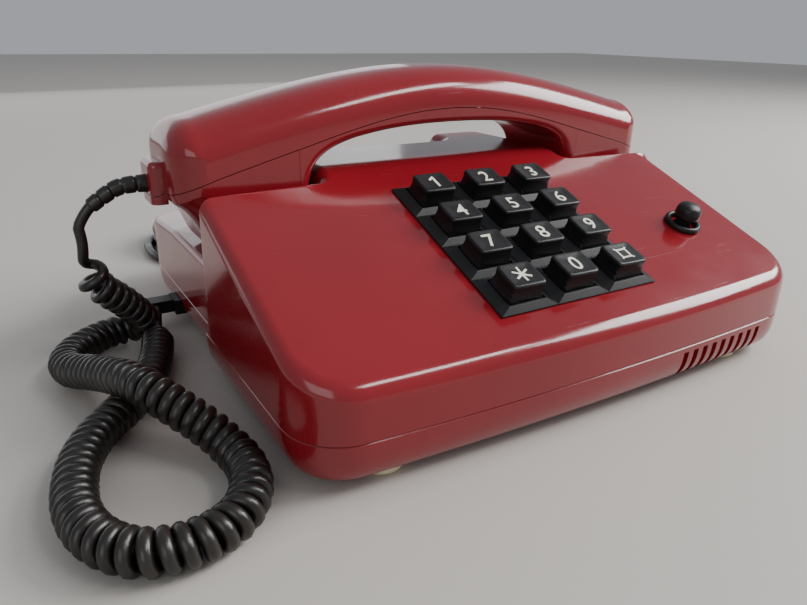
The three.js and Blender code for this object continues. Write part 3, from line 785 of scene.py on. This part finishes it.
def shell_surface(profile, outwards, shift, crown_drop, chamfer, inset):
    """Rows of points: the (x, z, side, drop) profile runs across the depth, is rounded at the front and rear,
    where the rounding reaches side inwards and drop down, and goes on to the seam as upright walls."""
    half = HALF_DEPTH - inset
    steps, level = 9, 6
    surface = []
    for i, (x, z, side, drop) in enumerate(profile):
        (x0, z0, *_), (x1, z1, *_) = profile[max(i - 1, 0)], profile[min(i + 1, len(profile) - 1)]
        along = Vector((x1 - x0, z1 - z0)).normalized()
        normal = Vector((-along.y, along.x)) * outwards
        x, z = x - normal.x * inset, z - normal.y * inset
        side, drop = max(side - inset, 0.4 * MM), max(drop - inset, 0.4 * MM)
        stations = []
        for k in range(steps + 1):
            angle = k / steps * math.pi / 2
            stations.append((-half + side * (1 - math.cos(angle)), drop * (1 - math.sin(angle))))
        inner = -stations[-1][0]
        across = stations + [(inner * (2 * k / level - 1), 0.0) for k in range(1, level)]
        across += [(-y, below) for y, below in reversed(stations)]
        row = []
        for y, below in across:
            limit = plan_limit(y, half, inset)
            px = max(-limit, min(limit, x - normal.x * below))
            pz = z - normal.y * below - crown_drop * (y / half) ** 2 * max(0.0, normal.y)
            edge = seam_z(px) + shift
            row.append((px, y, max(pz, edge) if outwards > 0 else min(pz, edge)))
        row.insert(0, (row[0][0], row[0][1], seam_z(row[0][0]) + shift))
        row.append((row[-1][0], row[-1][1], seam_z(row[-1][0]) + shift))
        if chamfer:
            row = [(px, cup_rear(px, y, pz, inset), pz) for px, y, pz in row]
        surface.append([(px, HANDSET_Y + y, pz) for px, y, pz in row])
    return surface


def plan_limit(y, half, inset):
    """How far the handset reaches along its length at y, where its plan's corners are rounded."""
    side, end = SIDE_A - inset, SIDE_B - inset
    over = max(0.0, min(1.0, (abs(y) - half + side) / side))
    return END - inset - end * (1 - math.sqrt(1 - over * over))


def cup_rear(x, y, z, inset):
    """The y of a point of a cup, whose lower rear edge slants."""
    limit = 29 * MM - HANDSET_Y + (z - CUP_Z) * 0.84 - 1.3 * inset
    return y if abs(x) < 61 * MM or y < limit else limit + (y - limit) * 0.02


def handset_shell(name, profile, outwards, shift, crown_drop=0.0, chamfer=False):
    """A closed shell: an outer surface, an inner one, and a rim between them along the seam."""
    outer = shell_surface(profile, outwards, shift, crown_drop, chamfer, 0)
    inner = shell_surface(profile, outwards, shift, crown_drop, chamfer, SHELL)
    columns = len(outer[0])
    count = len(profile) * columns
    grid = bands(len(profile), columns, wrap=False)
    faces = grid + [tuple(count + i for i in reversed(face)) for face in grid]
    last = count - columns
    loop = list(range(columns))
    loop += [row * columns - 1 for row in range(2, len(profile))]
    loop += [last + k for k in reversed(range(columns))]
    loop += [row * columns for row in reversed(range(1, len(profile) - 1))]
    for a, b in zip(loop, loop[1:] + loop[:1]):
        faces.append((a, b, count + b, count + a))
    points = [point for row in outer + inner for point in row]
    return face_outwards(new_mesh(name, points, faces), merge=0.005 * MM)


def cable_boss(name, shift):
    """Half of the block on the handset's left end that the cord's relief passes through."""
    start = Vector(RELIEF_ROUTE[0]) * MM
    left, right, half = -END - BOSS_OUT, -END + MM, 8 * MM
    corners = [
        (left, start.y - half, 3 * MM), (right, start.y - half, 0.5 * MM),
        (right, start.y + half, 0.5 * MM), (left, start.y + half, 3 * MM),
    ]
    boss = block(name, corners, lambda y: 75 * MM, 60.5 * MM, 2 * MM)
    for vert in boss.data.vertices:
        edge = seam_z(vert.co.x) + shift
        vert.co.z = max(vert.co.z, edge) if shift > 0 else min(vert.co.z, edge)
    run = [start + Vector((x * MM, 0, 0)) for x in (-6, 2, 9)]
    combine(boss, [tube("bore", run, 3.3 * MM, 24)], "DIFFERENCE")
    smooth(boss, 30)
    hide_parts("handset_cord_socket")
    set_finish(boss, "case_plastic")
    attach(boss, "handset")


def handset_top():
    corner = 11 * MM
    start = END - corner
    half = [(x * MM, crown(x * MM), SIDE_A, SIDE_B) for x in range(0, int(start / MM), 3)]
    rise = crown(start)
    for k in range(9):
        angle = k / 8 * math.pi / 2
        half.append((start + corner * math.sin(angle), rise - corner * (1 - math.cos(angle)), SIDE_A, SIDE_B))
    top, foot = rise - corner, seam_z(END) - MM
    half += [(END, top + (foot - top) * k / 4, SIDE_A, SIDE_B) for k in range(1, 5)]
    shell = handset_shell("handset_top", mirror(half), 1, SEAM_GAP, 2 * MM)
    cable_boss("boss_top", SEAM_GAP)
    finish_shell(shell, "handset_upper_shell")


CUP = [  # the lower shell's profile from the grip's middle to the end, (x, z) in mm
    (0, 84.7), (12, 84.5), (24, 83.8), (36, 82.3), (46, 80.2), (54, 77), (59, 72.8), (61.6, 67), (62.4, 60),
    (62.4, 50), (63.6, 44.4), (67, 42), (74, 41.7), (84, 41.7), (93, 41.8), (97, 43.6), (99.8, 49),
    (102.6, 55), (105.6, 59), (108.6, 61.4), (110, 64.2), (110, 67), (110, 71),
]


def sound_grille(name):
    """The perforated disc under a capsule, standing a little proud of the cup's underside."""
    at = middle(name + "_capsule")
    profile = [(0, -0.35), (10.6, -0.35), (11, -0.2), (11, 1.4), (0, 1.4)]

    def place(a, b, z):
        return Vector((at.x + a, at.y + b, CUP_Z + z))

    disc = turned(name + "_grille", [(r * MM, z * MM) for r, z in profile], place)
    holes = []
    for k in range(7):
        angle, reach = k * math.pi / 3, 6 * MM if k < 6 else 0
        x, y = at.x + reach * math.cos(angle), at.y + reach * math.sin(angle)
        holes.append(post("hole", x, y, 38 * MM, 48 * MM, 1.2 * MM, 16))
    combine(disc, holes, "DIFFERENCE")
    smooth(disc, 30)
    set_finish(disc, "case_plastic")
    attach(disc, "handset")


def handset_bottom():
    """The lower shell: the grip's underside and the two cups, with its rounding growing towards the ends."""
    arch_end = 62 * MM
    half = []
    line = even(CUP, 1.4 * MM)
    reached = 0.0
    for i, (x, z) in enumerate(line):
        before, after = line[max(i - 1, 0)], line[min(i + 1, len(line) - 1)]
        outwards = (after[1] - before[1]) / math.hypot(after[0] - before[0], after[1] - before[1])
        arch, end = min(1.0, x / arch_end), max(0.0, min(1.0, (x - 88 * MM) / (14 * MM)))
        size = 2.4 * MM + 1.4 * MM * arch**4 + 6.2 * MM * end
        if x > arch_end:  # the front and rear walls mustn't fold back over themselves
            if outwards > 0:
                size = min(size, (x - reached) / outwards)
            reached = max(reached, x - outwards * size)
        half.append((x, z, size + 2 * MM * end, size))
    shell = handset_shell("handset_bottom", mirror(half), -1, -SEAM_GAP, chamfer=True)
    cable_boss("boss_bottom", -SEAM_GAP)
    for name in ("receiver", "microphone"):
        sound_grille(name)
    finish_shell(shell, "handset_lower_shell")


def finish_shell(obj, node):
    smooth(obj, 30)
    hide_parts(node)
    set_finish(obj, "case_plastic")
    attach(obj, "handset")


# ---- keypad and button ----

LABELS = ("star", "0", "square", "7", "8", "9", "4", "5", "6", "1", "2", "3")
DISH = 0.45 * MM  # depth of the hollow in a key's top


def key_frame(label):
    """Centre, half sizes and top of a key in the sloping face's directions."""
    lowest, highest = face_box("key_" + label)
    half = [(b - a) / 2 for a, b in zip(lowest, highest)]
    return face_middle("key_" + label), half, highest[2]


def oblong(half_x, half_y, radius):
    signs = ((-1, -1), (1, -1), (1, 1), (-1, 1))
    return rounded([(a * half_x, b * half_y, radius) for a, b in signs], 0, 4, 4 * MM)


def key_cap(label):
    """A key: its sides pull in above the bezel, its upper edge is rounded and its top is dished."""
    centre, (wide, deep, _), top = key_frame(label)
    bottom = face_box("key_" + label)[0][2]
    level = FACE + 2 * MM
    edge = 0.8  # mm, the rounding of the upper edge
    rows = [  # distance out, then the inset and the corners' radius in mm
        (bottom, 0, 0.8), (level, 0, 0.9), (level + 1.6 * MM, 0.45, 1.1),
        (level + 3.4 * MM, 0.62, 1.3), (level + 4.6 * MM, 0.56, 1.4), (level + 5.4 * MM, 0.42, 1.5),
    ]
    for k in range(1, 6):
        angle = k / 5 * math.pi / 2
        rows.append((top - edge * MM * (1 - math.sin(angle)), 0.42 + edge * (1 - math.cos(angle)), 1.5))
    outlines = []
    for out, inset, radius in rows:
        outline = oblong(wide - inset * MM, deep - inset * MM, radius * MM)
        outlines.append([(p.x, p.y, out) for p in outline])
    rim = outlines[-1]
    for share in (0.86, 0.66, 0.44, 0.22):
        outlines.append([(x * share, y * share, top - DISH * (1 - share**2)) for x, y, _ in rim])
    count = len(rim)
    verts = [on_face(centre[0] + x, centre[1] + y, out) for row in outlines for x, y, out in row]
    faces = bands(len(outlines), count) + cap_faces(len(outlines), count)
    cap = smooth(new_mesh("cap_" + label, verts, faces), 40)
    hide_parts("key_" + label)
    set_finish(cap, "key_plastic")
    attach(cap, "key_body_" + label)


def flat_box(x, y, half_x, half_y, angle):
    """An upright bar about (x, y), turned by the angle, for the glyphs."""
    bar = box_mesh("bar", (-half_x, -half_y, 0), (half_x, half_y, 0.4 * MM))
    bar.data.transform(Matrix.Translation((x, y, 0)) @ Matrix.Rotation(angle, 4, "Z"))
    return bar


def star_glyph():
    """Three crossed bars."""
    bars = [flat_box(0, 0, 0.39 * MM, 3.3 * MM, k * math.pi / 3 + 0.001) for k in range(3)]
    return combine(bars[0], bars[1:], "UNION")


def square_glyph():
    """A square outline with a short tick outwards from each corner."""
    reach, stroke = 1.95 * MM, 0.35 * MM
    bars = [flat_box(0, side * reach, reach + stroke, stroke, 0) for side in (-1, 1)]
    bars += [flat_box(side * reach, 0, stroke, reach + stroke * 0.99, 0) for side in (-1, 1)]
    for k in range(4):
        angle = math.pi / 4 + k * math.pi / 2
        far = (reach + 0.3 * MM) * math.sqrt(2)
        bars.append(flat_box(far * math.cos(angle), far * math.sin(angle), 0.65 * MM, 0.34 * MM, angle))
    return combine(bars[0], bars[1:], "UNION")


def one_glyph():
    """A stem with a slanting flag, as the font's digit has none."""
    stem = flat_box(0.5 * MM, 0, 0.45 * MM, 3 * MM, 0)
    return combine(stem, [flat_box(-0.35 * MM, 2.2 * MM, 1.3 * MM, 0.42 * MM, 0.65)], "UNION")


def digit_glyph(digit):
    """A digit as a mesh, centred on the origin."""
    text_depth = 0.2 * MM
    text = bpy.data.curves.new("digit", "FONT")
    text.body = digit
    text.size = 8.7 * MM
    text.extrude = text_depth
    text.offset = 0.03 * MM
    source = bpy.data.objects.new("digit", text)
    bpy.context.scene.collection.objects.link(source)
    bpy.context.view_layer.update()
    mesh = bpy.data.meshes.new_from_object(source.evaluated_get(bpy.context.evaluated_depsgraph_get()))
    bpy.data.objects.remove(source)
    lowest = [min(v.co[i] for v in mesh.vertices) for i in range(3)]
    highest = [max(v.co[i] for v in mesh.vertices) for i in range(3)]
    x, y = (lowest[0] + highest[0]) / 2, (lowest[1] + highest[1]) / 2
    mesh.transform(Matrix.Translation((-x, -y, text_depth)))
    made = bpy.data.objects.new("glyph", mesh)
    bpy.context.scene.collection.objects.link(made)
    return made


def glyph(label):
    """A key's character, bent to lie in the dish of its top."""
    drawn = {"star": star_glyph, "square": square_glyph, "1": one_glyph}
    made = drawn[label]() if label in drawn else digit_glyph(label)
    made.name = "glyph_" + label
    centre, _, top = key_frame(label)
    mesh = bmesh.new()
    mesh.from_mesh(made.data)
    bmesh.ops.remove_doubles(mesh, verts=mesh.verts, dist=0.005 * MM)
    bmesh.ops.triangulate(mesh, faces=mesh.faces)
    for vert in mesh.verts:
        x, y, z = vert.co
        sunk = DISH * (1 - min(1.0, max(abs(x) / (6.2 * MM), abs(y) / (5.2 * MM))) ** 2)
        vert.co = on_face(centre[0] + x, centre[1] + y, top - sunk - 0.25 * MM + z)
    mesh.to_mesh(made.data)
    mesh.free()
    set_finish(made, "ivory_plastic")
    made["look"] = "glyph_paint"
    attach(made, "key_body_" + label)


def keypad_bezel():
    """Twelve shallow pyramids, each cut off level and open around its key, joined along their feet."""
    pitch_x = (BEZEL_HIGH[0] - BEZEL_LOW[0]) / 3
    pitch_y = (BEZEL_HIGH[1] - BEZEL_LOW[1]) / 4
    wide, deep = pitch_x / 2, pitch_y / 2
    rings = [  # half width, half depth and the distance out of the face in mm
        (wide, deep, 0.3), (wide, deep, 0.7), (wide - 3.3 * MM, deep - 1.85 * MM, 2.1),
        (wide - 3.6 * MM, deep - 2.1 * MM, 2.25), (7.4 * MM, 6.4 * MM, 2.25),
        (7.35 * MM, 6.35 * MM, 2.1), (7.35 * MM, 6.35 * MM, 0.3),
    ]
    verts, faces = [], []
    for column in range(3):
        for row in range(4):
            x = BEZEL_LOW[0] + (column + 0.5) * pitch_x
            y = BEZEL_LOW[1] + (row + 0.5) * pitch_y
            start = len(verts)
            for half_x, half_y, out in rings:
                for a, b in ((-1, -1), (1, -1), (1, 1), (-1, 1)):
                    verts.append(on_face(x + a * half_x, y + b * half_y, FACE + out * MM))
            outside = (row == 0, column == 2, row == 3, column == 0)
            for k, face in enumerate(bands(len(rings), 4)):
                if k >= 4 or outside[k]:
                    faces.append(tuple(start + i for i in face))
            last = start + (len(rings) - 1) * 4
            faces += [(start + i, last + i, last + (i + 1) % 4, start + (i + 1) % 4) for i in range(4)]
    bezel = face_outwards(new_mesh("bezel", verts, faces), merge=0.01 * MM)
    smooth(bezel, 20)
    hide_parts("keypad_bezel")
    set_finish(bezel, "key_plastic")
    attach(bezel, "case")


def round_button():
    """The mushroom-shaped button and the rounded collar that it stands in; both profiles are in mm."""
    x, up = face_middle("ground_button")

    def place(a, b, out):
        return on_face(x + a, up + b, FACE + out)

    foot = (face_box("ground_button")[0][2] - FACE) / MM
    cap = [
        (0, foot), (3, foot), (3, 2.6), (3.1, 3.4), (3.6, 3.9), (4.55, 4.1), (4.8, 4.4), (4.85, 5),
        (4.82, 6.2), (4.7, 7.3), (4.35, 8.2), (3.7, 8.9), (2.8, 9.35), (1.5, 9.62), (0, 9.7),
    ]
    button = smooth(turned("button", [(r * MM, z * MM) for r, z in cap], place, 40), 40)
    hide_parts("ground_button")
    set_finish(button, "key_plastic")
    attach(button, "button_body")
    ring = [
        (5.2, 0.3), (7.05, 0.3), (7.2, 0.5), (7.2, 1.3), (7.0, 1.85),
        (6.6, 2.2), (6.1, 2.3), (5.7, 2.2), (5.35, 1.9), (5.2, 1.4),
    ]
    sides = 48
    verts = []
    for radius, out in ring:
        for k in range(sides):
            angle = 2 * math.pi * k / sides
            verts.append(place(radius * MM * math.cos(angle), radius * MM * math.sin(angle), out * MM))
    faces = bands(len(ring), sides)
    last = (len(ring) - 1) * sides
    faces += [(last + k, last + (k + 1) % sides, (k + 1) % sides, k) for k in range(sides)]
    collar = smooth(new_mesh("collar", verts, faces), 50)
    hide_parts("ground_button_collar")
    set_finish(collar, "key_plastic")
    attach(collar, "case")


def rubber_foot(i):
    lowest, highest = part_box(f"foot_{i}")
    at, radius, top = (lowest + highest) / 2, (highest.x - lowest.x) / 2, highest.z
    profile = [(0, 0.3), (2.2, 0.3), (2.6, 0), (6.0, 0), (6.6, 0.25), (6.95, 0.8), (7, 1.4)]
    points = [(min(r * MM, radius), z * MM) for r, z in profile] + [(radius, top), (0, top)]
    foot = smooth(turned(f"pad_{i}", points, lambda a, b, z: Vector((at.x + a, at.y + b, z)), 36), 40)
    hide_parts(f"foot_{i}")
    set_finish(foot, "foot_rubber")
    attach(foot, "case")


# ---- materials ----


def add(tree, kind, inputs):
    """A node whose inputs are set to values, or linked to the outputs of other nodes."""
    node = tree.nodes.new(kind)
    for name, value in inputs.items():
        if isinstance(value, bpy.types.NodeSocket):
            tree.links.new(value, node.inputs[name])
        else:
            node.inputs[name].default_value = value
    return node


def noise(tree, scale, detail, source, roughness=0.5):
    inputs = {"Vector": source, "Scale": scale, "Detail": detail, "Roughness": roughness}
    return add(tree, "ShaderNodeTexNoise", inputs).outputs["Fac"]


def remap(tree, source, low_in, high_in, low_out, high_out):
    inputs = {"Value": source, "From Min": low_in, "From Max": high_in, "To Min": low_out, "To Max": high_out}
    return add(tree, "ShaderNodeMapRange", inputs).outputs["Result"]


def mixed(tree, share, first, second):
    """The colour between two others."""
    node = tree.nodes.new("ShaderNodeMix")
    node.data_type = "RGBA"
    tree.links.new(share, node.inputs["Factor"])
    node.inputs["A"].default_value = (*first, 1)
    node.inputs["B"].default_value = (*second, 1)
    return node.outputs["Result"]


def material(name, dark, light, gloss, grain, bump=0.2, cloud=18, scratches=0.0, **uniform):
    """A procedural surface: clouded colour, uneven gloss, a fine grain, and long fine scratches if asked.

    The uniform values go to the shader's own inputs."""
    made = bpy.data.materials.new(name)
    made.use_nodes = True
    tree = made.node_tree
    shader = tree.nodes["Principled BSDF"]
    place = tree.nodes.new("ShaderNodeTexCoord").outputs["Object"]
    clouds = remap(tree, noise(tree, cloud, 4, place), 0.3, 0.7, 0, 1)
    tree.links.new(mixed(tree, clouds, dark, light), shader.inputs["Base Color"])
    rough = remap(tree, noise(tree, cloud * 3, 5, place, 0.6), 0.3, 0.75, *gloss)
    height = noise(tree, grain, 3, place)
    if scratches:
        stretched = {"Vector": place, "Rotation": (0.2, 0.3, 0.7), "Scale": (40, 900, 900)}
        stretch = add(tree, "ShaderNodeMapping", stretched)
        lines = remap(tree, noise(tree, 1.0, 2, stretch.outputs["Vector"]), 0.68, 0.74, 0, scratches)
        joined = tree.nodes.new("ShaderNodeMath")
        joined.operation = "ADD"
        tree.links.new(rough, joined.inputs[0])
        tree.links.new(lines, joined.inputs[1])
        rough = joined.outputs[0]
    tree.links.new(rough, shader.inputs["Roughness"])
    relief = add(tree, "ShaderNodeBump", {"Strength": bump, "Distance": 0.1 * MM, "Height": height})
    tree.links.new(relief.outputs["Normal"], shader.inputs["Normal"])
    for key, value in uniform.items():
        shader.inputs[key.replace("_", " ")].default_value = value
    return made


LOOKS = {
    "case_plastic": material(
        "wine_plastic", (0.205, 0.0085, 0.014), (0.24, 0.0105, 0.017), (0.12, 0.19), 300,
        bump=0.1, scratches=0.14, Coat_Weight=0.2, Coat_Roughness=0.06,
    ),
    "key_plastic": material(
        "satin_black", (0.0055, 0.0055, 0.006), (0.0105, 0.0105, 0.011), (0.36, 0.48), 2500,
        Specular_IOR_Level=0.32,
    ),
    "cord_pvc": material(
        "cord_sheath", (0.009, 0.0075, 0.0065), (0.02, 0.017, 0.014), (0.27, 0.42), 1800, bump=0.3, cloud=60
    ),
    "foot_rubber": material(
        "cream_rubber", (0.6, 0.5, 0.32), (0.72, 0.63, 0.44), (0.6, 0.8), 1800, bump=0.4
    ),
    "circuit_board": material(
        "paper_laminate", (0.2, 0.1, 0.035), (0.27, 0.15, 0.055), (0.4, 0.6), 1500, cloud=90
    ),
    "grey_rubber": material(
        "grey_rubber", (0.07, 0.078, 0.085), (0.1, 0.11, 0.12), (0.6, 0.8), 1800, bump=0.3
    ),
    "steel": material(
        "plated_steel", (0.42, 0.43, 0.44), (0.56, 0.57, 0.58), (0.22, 0.4), 900, cloud=120, Metallic=1
    ),
    "ivory_plastic": material("ivory_plastic", (0.64, 0.59, 0.48), (0.74, 0.7, 0.6), (0.35, 0.5), 1500),
    "glyph_paint": material("cream_paint", (0.74, 0.73, 0.6), (0.84, 0.83, 0.72), (0.35, 0.5), 1500),
}


def dress():
    """Gives each new piece and each carried-over node the look of its slot."""
    slots = {part["node"]: part["material_slot"] for part in frame["record"]["subparts"]}
    for name, node in frame["nodes"].items():
        node["look"] = slots[name]
    for obj in bpy.context.scene.objects:
        look = obj.get("look") or obj.get("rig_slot")
        if look:
            obj.data.materials.clear()
            obj.data.materials.append(LOOKS[look])


# ---- floor and lights ----


def studio():
    """A pale floor, and soft lights where the photo's reflections come from."""
    floor = new_mesh("stage_floor", [(-3, -3, 0), (3, -3, 0), (3, 3, 0), (-3, 3, 0)], [(0, 1, 2, 3)])
    pale = bpy.data.materials.new("pale_floor")
    pale.use_nodes = True
    shader = pale.node_tree.nodes["Principled BSDF"]
    shader.inputs["Base Color"].default_value = (0.5, 0.47, 0.43, 1)
    shader.inputs["Roughness"].default_value = 0.6
    floor.data.materials.append(pale)
    world = bpy.data.worlds.new("studio")
    world.use_nodes = True
    sky = world.node_tree.nodes["Background"]
    sky.inputs["Color"].default_value = (0.9, 0.93, 1, 1)
    sky.inputs["Strength"].default_value = 0.42
    bpy.context.scene.world = world
    for name, place, aim, size, power in (
        ("window", (1.2, -0.35, 0.85), (0, 0, 0.05), (0.8, 0.7), 26),
        ("strip", (0.55, -0.6, 1.1), (0, 0, 0.1), (0.7, 0.16), 6),
        ("wall", (-0.2, 1.2, 0.25), (0, 0, 0.1), (2.0, 0.4), 2.5),
        ("fill", (-1.0, -0.9, 0.6), (0, 0, 0.05), (0.9, 0.9), 4),
    ):
        data = bpy.data.lights.new(name, "AREA")
        data.shape = "RECTANGLE"
        data.size, data.size_y = size
        data.energy = power
        light = bpy.data.objects.new(name, data)
        bpy.context.scene.collection.objects.link(light)
        light.location = place
        light.rotation_euler = (Vector(aim) - Vector(place)).to_track_quat("-Z", "Y").to_euler()


make_camera()
handset_cord()
line_cord()
case_shell()
tray_shell()
handset_top()
handset_bottom()
keypad_bezel()
for LABEL in LABELS:
    key_cap(LABEL)
    glyph(LABEL)
round_button()
for INDEX in range(1, 5):
    rubber_foot(INDEX)
studio()
dress()
